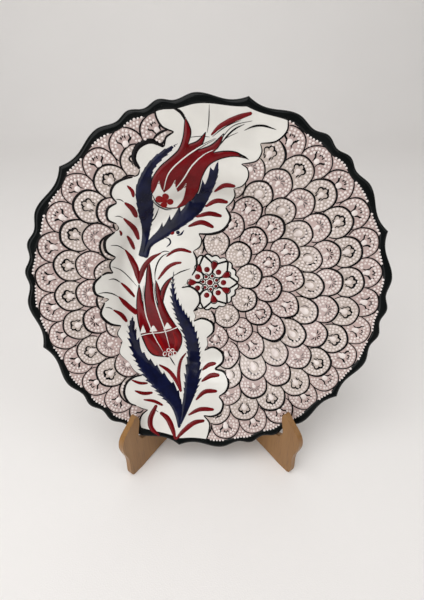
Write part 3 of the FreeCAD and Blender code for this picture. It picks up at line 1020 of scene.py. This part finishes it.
# %% The lower tulip
LOWER_BULB = (
    ((-62, -1), (-64.3, -12), (-65.2, -26), (-64.2, -38), (-60.3, -52), (-52.5, -64.5), (-38.2, -69.6)),
    ((-38.2, -69.6), (-30.4, -66.5), (-25.9, -57.6), (-26, -49), (-29.3, -43), (-37, -29.7), (-41.6, -17.5),
     (-44.7, -3.6), (-47.2, 2.8)),
    ((-47.2, 2.8), (-47.5, -8), (-45.8, -21)),
    ((-45.8, -21), (-49, -14), (-50.2, 0), (-50.8, 9), (-52.1, 19.6)),
    ((-52.1, 19.6), (-54.4, 11.9), (-55.6, 2), (-57.2, -10), (-57.4, -24)),
    ((-57.4, -24), (-60, -17), (-60.5, -9), (-62, -1)),
)
SMALL_PETAL = (
    ((-31.5, 5.9), (-37.1, 1.9), (-41.4, -3.7), (-43.6, -9.3), (-43.3, -15), (-41.3, -18)),
    ((-41.3, -18), (-40.2, -12), (-38, -5.2), (-35.1, 0.4), (-31.5, 5.9)),
)
bulbs = (UPPER_BULB, LOWER_BULB, SMALL_PETAL)
make_piece("tulip_petals", [enamel(*sides) for sides in bulbs], deep_red)
rims = [stroke(side, (0.5, 0.9, 1.0, 0.9, 0.5), ENAMEL, 0.35) for sides in bulbs for side in sides]
make_piece("tulip_outlines", rims, line_black)

# %% Bright red at the foot of the lower bulb
HEART_LIFT = ENAMEL + ENAMEL_RISE
BRIGHT_STROKES = (
    ((1.5, 4.6, 3), ((-59.5, -48), (-54, -59), (-46.5, -66))),
    ((2, 5.4, 3), ((-48.6, -48), (-44.8, -57), (-41.5, -65))),
    ((2, 5.0, 3), ((-33.8, -46), (-30.8, -55), (-33, -64.5))),
)
bright = [stroke(points, widths, HEART_LIFT - 0.16, 0.2) for widths, points in BRIGHT_STROKES]
make_piece("tulip_bright_red", bright, bright_red)

# %% [markdown]
# ## The leaves
# The saw-edged leaves are cobalt, pulled with a loaded brush: each tooth is where the brush was
# pushed sideways. Their outline is a smooth side with teeth added by a formula.

# %% Saw-edged leaves
def toothed(points, size, pitch, side):
    """A smooth side with brush teeth that lean towards the tip and fade at both ends."""
    line = curve_through(points, 0.4)
    along = lengths_along(line)
    share = along / along[-1]
    phase = ((along + 1.3 * np.sin(along / 5.7)) / pitch % 1.0) ** 1.6
    fade = np.clip((share - 0.2) / 0.12, 0, 1) * np.clip((1 - share) / 0.1, 0, 1)
    run = np.gradient(line, axis=0)
    run /= np.hypot(*run.T)[:, None]
    normal = side * np.column_stack((-run[:, 1], run[:, 0]))
    return line + (normal + 0.7 * run) * (size * phase * fade)[:, None]


def leaf(first, second, first_teeth, second_teeth):
    """A leaf between two sides that run from its foot to its tip, each with its teeth's size and pitch."""
    a = toothed(first, *first_teeth, side=1.0)
    b = toothed(second, *second_teeth, side=-1.0)
    return filled(np.vstack((a, b[::-1][1:-1])), ENAMEL, 0.45, 2.0, pitch=1.3)


leaves = [
    leaf(((-61.2, 24.5), (-58.1, 36), (-56.9, 46), (-57.6, 60), (-58, 73), (-57.4, 82), (-53.7, 90.8),
          (-46.3, 101.3), (-35.8, 109.7), (-23.2, 115.5)),
         ((-61.2, 24.5), (-56.3, 23.4), (-51.8, 37.5), (-49.6, 48), (-47.4, 57), (-45.9, 68), (-46, 80),
          (-43.7, 95), (-37.9, 102.4), (-29.5, 109.7), (-23.2, 115.5)),
         (0.6, 6.0), (1.3, 5.0)),
    leaf(((-60, 25), (-52.4, 37), (-46.5, 43), (-38.5, 49.5), (-26, 60), (-13.6, 71.4), (-6.3, 80.3),
          (-0.5, 88.5), (7.4, 102.4)),
         ((-60, 25), (-53.6, 22.4), (-49.3, 32), (-36.8, 40.2), (-20.8, 50.4), (-12.9, 56), (-6.3, 62),
          (0, 72.9), (4.6, 84), (7.2, 93), (7.4, 102.4)),
         (4.2, 10.5), (0.6, 6.0)),
    leaf(((-29.4, -133), (-32.4, -119), (-36.4, -110), (-43.4, -101.5), (-51.5, -91), (-58.0, -82.4),
          (-63.7, -71.8), (-68.6, -60), (-71, -48.2), (-71.4, -37), (-68.8, -28.2)),
         ((-29.4, -133), (-25.0, -118), (-26.8, -106), (-31.4, -94), (-40.4, -84.2), (-50.4, -73.2),
          (-59.4, -64), (-64.6, -53), (-67.6, -42), (-68.8, -28.2)),
         (2.6, 5.6), (2.4, 9.5)),
    leaf(((-29.4, -133), (-27.4, -117.6), (-25, -104.5), (-23.0, -91.8), (-21.6, -80), (-20.4, -67.1),
          (-22, -54.1), (-25.5, -42.4), (-30.4, -29.5), (-33.2, -13), (-32.9, -1.5), (-30.8, 11.5)),
         ((-29.4, -133), (-20.6, -115.3), (-14.9, -102.4), (-10.6, -89.4), (-9.6, -77.6), (-10.2, -62.4),
          (-13.2, -47.1), (-18.2, -35.3), (-24.7, -25), (-30.2, -13), (-31.8, -1.5), (-30.8, 11.5)),
         (2.4, 5.6), (2.6, 5.0)),
]
make_piece("blue_leaves", leaves, cobalt)

# %% [markdown]
# ## Brush strokes
# The loose red strokes are single pulls of the brush: thin where it lands, full in the middle, and
# often with a black tail where a fine pen line joins them. They all use the same half-round line.

# %% Red strokes
# each stroke: its fullest width, then its points from the tip that fades
RED_STROKES = (
    (4.4, ((1.6, 120.8), (7.5, 126.4), (14.7, 130.3), (24, 133.8), (32.1, 136))),
    (4.2, ((4.2, 78.2), (12.6, 83.6), (21.6, 82.9))),
    (4.6, ((-3.2, 65.5), (6.3, 70.5), (16.3, 69.2))),
    (4.4, ((-11.1, 57.1), (0, 59.9), (11.1, 57.6))),
    (4.6, ((-17.9, 49.2), (-6.3, 52.6), (4.2, 48.2))),
    (3.2, ((-64.2, 84.5), (-60.5, 80), (-60, 75))),
    (4.8, ((-67.4, 71.3), (-62, 66), (-59.5, 58.2))),
    (4.6, ((-69.5, 58.7), (-63.2, 49.7), (-60, 38.2))),
    (2.2, ((-73.7, 48.7), (-72.8, 46), (-73.2, 43.4))),
    (3.6, ((-68.9, 43.4), (-66.5, 37), (-64.2, 29.7))),
    (3.4, ((-37.3, 23.3), (-30, 28.3), (-23.8, 29.4), (-15, 26.9))),
    (3.6, ((-45.4, 2.7), (-36.2, 13.8), (-30, 17.2), (-23.8, 18.1))),
    (3.4, ((-77.6, 1.5), (-72.3, -4.9), (-66.2, -13.1))),
    (3.2, ((-84.1, -20.6), (-78, -26.5), (-73.5, -34.1))),
    (3.6, ((-7.6, -81.8), (-0.5, -78), (5.9, -77.1))),
    (4.0, ((-8.2, -90), (0.5, -85.8), (8.8, -85.3))),
    (4.4, ((-13.5, -105.9), (-5.3, -98.6), (6.5, -98.0))),
    (4.4, ((-20.6, -119.4), (-10, -114.4), (3.5, -114.7))),
    (5.0, ((-32.4, -141.2), (-24.1, -132.9), (-14.7, -126.3), (-5.3, -124.7))),
    (5.2, ((-32.4, -141.2), (-34.7, -131.8), (-39.4, -121.2), (-46, -115.3))),
    (5.2, ((-46.5, -137), (-54, -129), (-54.7, -121.2), (-48.8, -108.2))),
    (3.2, ((-60.6, -102.9), (-51.2, -104.9), (-42.9, -109.4))),
    (3.0, ((-70.6, -84.1), (-63, -87.6), (-55.9, -88.2))),
    (3.6, ((-68.2, -94.1), (-60, -97.2), (-51.8, -97.1))),
    (3.6, ((-46.5, -73.5), (-37.1, -80), (-30.5, -88.6), (-26.5, -98))),
    (3.6, ((-21.8, -67.1), (-27.2, -74.1), (-28.8, -84), (-26.5, -98))),
)
RED_SWELL = np.array((0.3, 0.75, 0.92, 0.88, 0.5))
FORKED_STROKES = (
    (0.45, (0.8, 4.2, 5.4, 4.8, 0.6), ((-72, 31), (-67, 21), (-63.7, 12), (-62, -1))),
    (0.45, (0.8, 3.6, 4.6, 4.4, 0.6), ((-41, 27), (-50.6, 21.4), (-57.6, 12.6), (-61.6, -1))),
    (0.4, (0.8, 3.8, 4.4, 4.8), ((-79.8, -10.3), (-75.4, -16.8), (-70.7, -22.6), (-64.5, -28.5))),
)
red_lines = [stroke(points, width * RED_SWELL, ENAMEL, 0.42) for width, points in RED_STROKES]
red_lines += [stroke(points, widths, ENAMEL, height) for height, widths, points in FORKED_STROKES]
make_piece("red_strokes", red_lines, deep_red)

# %% Black pen lines
PEN_LINES = (
    (2.2, ((-17.3, 130), (-18.6, 134.2), (-21.3, 137.4), (-26.5, 139.6))),
    (1.6, ((20.5, 107.2), (26, 106), (31, 103.2))),
    (1.3, ((8.5, 113.8), (14, 120.5), (20, 125.5), (27, 128.6))),
    (0.7, ((-1.2, 122.6), (0, 129.7), (0.5, 142))),
    (0.8, ((2.6, 119.8), (9, 124.6), (16, 128.4), (24, 131.2))),
    (0.6, ((7.4, 112.9), (12, 121.5), (18.9, 127.6), (32.6, 130.8))),
    (0.5, ((6.3, 112.9), (13.5, 119), (22.1, 122.9))),
    (1.5, ((26.3, 124), (33, 126.8), (40, 127.4), (50.5, 124.5))),
    (0.5, ((-16.8, 119.2), (-6.3, 120.3), (1, 119.7))),
    (1.2, ((-46, 72.5), (-42.5, 67.5), (-36, 63.8), (-30.5, 63.5))),
    (1.0, ((-41.6, 65.5), (-45, 58), (-49.5, 51.8))),
    (0.7, ((-73.7, 73.9), (-70, 73.4), (-67.4, 71.3))),
    (0.7, ((-75.8, 60.3), (-72.5, 60.3), (-69.5, 58.7))),
    (0.8, ((-43, 26.3), (-38, 28.2), (-33.8, 27.3))),
    (0.8, ((-81.9, 36.2), (-76.5, 35.2), (-71.5, 30))),
    (1.2, ((-47.8, 2.1), (-47.2, 10.4), (-44.4, 18.6), (-40.2, 23.9), (-34.1, 26.8))),
    (1.0, ((-31.5, 5.9), (-26, 9.3), (-16.6, 12.6))),
    (1.0, ((-86.3, 6.2), (-82.3, 6.1), (-77.6, 1.5))),
    (0.8, ((-83, 17.7), (-77.2, 13.3), (-70.4, 5.4), (-63.6, -3.2))),
    (1.0, ((-94.7, -4.7), (-89.9, -4.4), (-84.3, -6.5), (-79.4, -11))),
    (0.8, ((-90, -17.6), (-87, -18.2), (-84.1, -20.6))),
    (0.9, ((-37.5, -69), (-34.5, -73), (-31.8, -76.5))),
    (0.7, ((-47.1, -115.3), (-50, -113.4), (-53, -114))),
)
pen_lines = [stroke(points, (0.3, width, width, 0.3), ENAMEL + 0.05, 0.3) for width, points in PEN_LINES]
make_piece("pen_lines", pen_lines, line_black)

# %% White slits, each between two black edges
SLIT_LIFT = HEART_LIFT - 0.06
SLITS = (
    (1.1, ((-36.4, 80.5), (-31.4, 93.5), (-18.1, 105.6), (-5.2, 113.6), (5.7, 118.8))),
    (1.1, ((-29.7, 78.4), (-20.6, 88.7), (-12.8, 99.4), (-3.4, 107.4), (3.6, 110.6))),
    (1.2, ((-57.6, -2), (-58.4, -9), (-58.3, -17.6), (-57.3, -29), (-55, -38), (-50, -52), (-43, -65))),
    (1.2, ((-49.1, 0), (-49.1, -9), (-48.1, -18), (-45.2, -29.5), (-41, -43.5), (-37, -62))),
)
slit_shadows = [stroke(points, (0.8, 2.2 * width, 2.2 * width, 0.8), SLIT_LIFT - 0.12, 0.22)
                for width, points in SLITS]
make_piece("slit_edges", slit_shadows, line_black)
slits = [stroke(points, (0.5, width, width, 0.4), SLIT_LIFT, 0.3) for width, points in SLITS]

# %% Pointed white bands on the bulbs
flat_band = {"rise": 0.1, "edge": 1.0, "lift": HEART_LIFT}
upper_crown = enamel(
    ((-45.4, 77.5), (-42.6, 81.5), (-39.2, 88.1)), ((-39.2, 88.1), (-38.2, 82.5), (-36.2, 78.6)),
    ((-36.2, 78.6), (-31, 82.5), (-26.5, 88.8)), ((-26.5, 88.8), (-26.8, 83.5), (-25.4, 79)),
    ((-25.4, 79), (-21.5, 81.5), (-17.9, 86.4)), ((-17.9, 86.4), (-19.5, 79), (-22, 71.5), (-27, 65.6)),
    ((-27, 65.6), (-35, 66.0), (-42, 70.4), (-45.4, 77.5)), **flat_band)
WEDGES = (
    ((-63.6, -46.5), (-60.5, -38.8), (-57.8, -46.2)),
    ((-55.0, -46.0), (-51.2, -38.6), (-47.6, -45.4)),
    ((-42.6, -44.6), (-38.4, -36.6), (-34.2, -42.6)),
)
wedges = [enamel((left, tip), (tip, right), (right, left), **flat_band) for left, tip, right in WEDGES]
SEAM = ((-63, -48.2), (-53, -47.4), (-45.5, -46.9), (-37, -45), (-28.6, -41.6))
seam = stroke(SEAM, (0.9, 0.9), SLIT_LIFT, 0.25)
make_piece("white_slits", [*slits, upper_crown, *wedges, seam], ivory)

# %% The red flower on the crown, the florets under the lower bulb and the two buds
CROWN_LIFT = HEART_LIFT + 0.05
CROWN_PATCHES = (((-40.4, 73.4), 3.1), ((-35.4, 75.4), 2.9), ((-32.2, 70.8), 3.0), ((-37.3, 68.6), 2.9),
                 ((-36.4, 72.0), 2.4))
crown_flower = [round_patch(place, radius, CROWN_LIFT, 0.45) for place, radius in CROWN_PATCHES]
crown_flower.append(round_patch((-31.6, 44.3), 2.1, ENAMEL, 0.4))
base_florets = np.array(((-41.6, -66.6), (-38.2, -64.0), (-34.6, -64.3), (-32.4, -67.0), (-36.8, -67.8)))
crown_flower += [round_patch(place, 1.15, CROWN_LIFT + 0.3, 0.25) for place in base_florets]
make_piece("calyx_red", crown_flower, bright_red)
floret_dots = dots(base_florets, [1.9] * len(base_florets), CROWN_LIFT, 0.2)
make_piece("floret_dots", [floret_dots], slip_dot)
BUD_STROKES = (
    ((0.6, 1.6, 0.6), ((-35.5, 43.5), (-33, 46.8), (-29.5, 47.4))),
    ((0.6, 1.8, 0.5), ((-27.5, 41.6), (-24, 42.6), (-21.2, 46.4))),
    ((0.5, 1.4, 1.4, 0.4), ((-37.7, 40), (-34.2, 38.8), (-33.1, 35.4), (-36.9, 31.5))),
)
bud_blue = [round_patch((-26.5, 44.2), 1.7, ENAMEL, 0.4)]
bud_blue += [stroke(points, widths, ENAMEL, 0.4) for widths, points in BUD_STROKES]
make_piece("bud_blue", bud_blue, cobalt)

# %% [markdown]
# ## The wooden stand
# The boards keep their CAD meshes. Varnished softwood shows long grain along the board, darker late
# wood lines that wander, and small pores. The boards stand open at an angle, so their grain is laid
# out in coordinates turned back by that angle.

# %% Wood grain
def wood_group():
    """Long grain with darker wandering lines and small pores."""
    group, given, made, place = new_group("Varnished wood", {
        "Turn": 0.0, "Light": (0.5, 0.3, 0.1, 1), "Dark": (0.3, 0.15, 0.05, 1)})
    board = add(group, "ShaderNodeVectorRotate", {"Vector": place, "Angle": given["Turn"]},
                rotation_type="Z_AXIS").outputs[0]
    along = stretched(group, board, (60.0, 60.0, 5.0))
    drift = noise(group, along, 1.0, 4.0)
    lines = noise(group, along, 4.5, 3.0, 0.6)
    pore = noise(group, stretched(group, board, (900.0, 900.0, 60.0)), 1.0)
    both = maths(group, "MULTIPLY_ADD", lines, 0.6, drift)
    grain = blend_colours(group, shift(group, both, start=0.55, end=1.05), given["Light"], given["Dark"])
    speck = shift(group, pore, 0.72, 1.0, 0.3, 0.45)
    colour = blend_colours(group, speck, (0.05, 0.02, 0.008, 1), grain)
    return give_out(group, made, colour, shift(group, drift, 0.34, 0.58), both)


WOOD = wood_group()
half_open = math.radians(joints["right_fold"]["range_deg"][1])
for node, turn in (("left_board", half_open), ("right_board", -half_open)):
    tones = {"Turn": turn, "Light": (0.28, 0.135, 0.034, 1), "Dark": (0.22, 0.10, 0.024, 1)}
    wood = finish(f"{node}_wood", WOOD, tones, coat=0.15, bump=0.0003)
    board = frame["nodes"][node]
    board.data.materials.clear()
    board.data.materials.append(wood)
print("boards open", round(math.degrees(half_open)), "degrees each side")


# %% Brass
def brass_group():
    """Brass with clouds of tarnish and fine scratches."""
    group, given, made, place = new_group("Worn brass", {
        "Bright": (0.8, 0.58, 0.26, 1), "Tarnish": (0.45, 0.3, 0.12, 1)})
    cloud = noise(group, place, 180.0, 4.0)
    scratch = noise(group, stretched(group, place, (2500.0, 2500.0, 60.0)), 1.0)
    tone = shift(group, cloud, start=0.4, end=0.7)
    colour = blend_colours(group, tone, given["Bright"], given["Tarnish"])
    return give_out(group, made, colour, shift(group, cloud, 0.2, 0.5), scratch)


brass = finish("hinge_brass", brass_group(), {}, metal=1.0, bump=0.00005)
for name, node in frame["nodes"].items():
    if "hinge" in name or "screws" in name:
        node.data.materials.clear()
        node.data.materials.append(brass)

# %% [markdown]
# ## Floor, light and camera
# A plain pale sweep of cloth, a large soft key light high in front, and three weaker ones: low in
# front, on the wall behind and at the side. The camera stands close and looks down at the plate
# with a wide lens.

# %% Floor and backdrop
def sweep():
    """A floor that curves up into a backdrop."""
    bend = 0.5
    turn = np.linspace(0, math.pi / 2, 16)
    y = np.concatenate(([-2.0], 1.1 + bend * np.sin(turn), [1.1 + bend]))
    z = np.concatenate(([0.0], bend - bend * np.cos(turn), [2.4]))
    points = [(x, py, pz) for x in (-2.2, 2.2) for py, pz in zip(y, z)]
    mesh = bpy.data.meshes.new("sweep")
    count = len(y)
    mesh.from_pydata(points, [], [(i, count + i, count + i + 1, i + 1) for i in range(count - 1)])
    mesh.shade_smooth()
    return bpy.data.objects.new("floor", mesh)


def cloth_group():
    """Pale cloth with a soft change of tone and a fine weave."""
    group, given, made, place = new_group("Pale cloth", {"Cloth": (0.92, 0.895, 0.875, 1)})
    soft = shift(group, noise(group, place, 4.0), 0.0, 0.35)
    weave = noise(group, place, 900.0)
    colour = blend_colours(group, soft, given["Cloth"], (0.80, 0.78, 0.76, 1))
    return give_out(group, made, colour, shift(group, weave, 0.8, 0.95), weave)


floor = sweep()
bpy.context.scene.collection.objects.link(floor)
floor.data.materials.append(finish("pale_cloth", cloth_group(), {}, bump=0.0002, specular=0.2))
floor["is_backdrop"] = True


# %% Lights and camera
def soft_light(name, place, target, size, power):
    """A square area light at a place, aimed at a target."""
    light = bpy.data.lights.new(name, "AREA")
    light.energy = power
    light.size = size
    lamp = bpy.data.objects.new(name, light)
    lamp.location = place
    lamp.rotation_euler = (Vector(target) - Vector(place)).to_track_quat("-Z", "Y").to_euler()
    bpy.context.scene.collection.objects.link(lamp)


soft_light("key", (-0.6, -0.8, 1.9), (0, 0.1, 0.1), 1.8, 25)
soft_light("low_fill", (-0.5, -1.1, 0.45), (0, 0, 0.05), 0.9, 6)
soft_light("wall_light", (0, 0.35, 1.5), (0, 1.4, 0.1), 1.5, 3.5)
soft_light("side_fill", (1.4, -0.8, 1.2), (0, 0, 0.15), 1.2, 5)
world = bpy.data.worlds.new("studio")
world.use_nodes = True
world.node_tree.nodes["Background"].inputs["Color"].default_value = (1.0, 0.985, 0.965, 1)
world.node_tree.nodes["Background"].inputs["Strength"].default_value = 0.20
bpy.context.scene.world = world
bpy.context.scene.view_settings.view_transform = "Standard"

VIEW_YAW, VIEW_PITCH = math.radians(1.04), math.radians(33)
lens = bpy.data.cameras.new("camera")
lens.lens = 27
camera = bpy.data.objects.new("camera", lens)
camera.location = (-0.0039, -0.3144, 0.3626)
level = math.cos(VIEW_PITCH)
looks = Vector((math.sin(VIEW_YAW) * level, math.cos(VIEW_YAW) * level, -math.sin(VIEW_PITCH)))
camera.rotation_euler = looks.to_track_quat("-Z", "Y").to_euler()
bpy.context.scene.collection.objects.link(camera)
bpy.context.scene.camera = camera

# %% Bounds of the CAD parts at load and of the shown pieces now
sizes = {"cad": [list(corner) for corner in box_at_load], "visual": [list(corner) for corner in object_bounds()]}
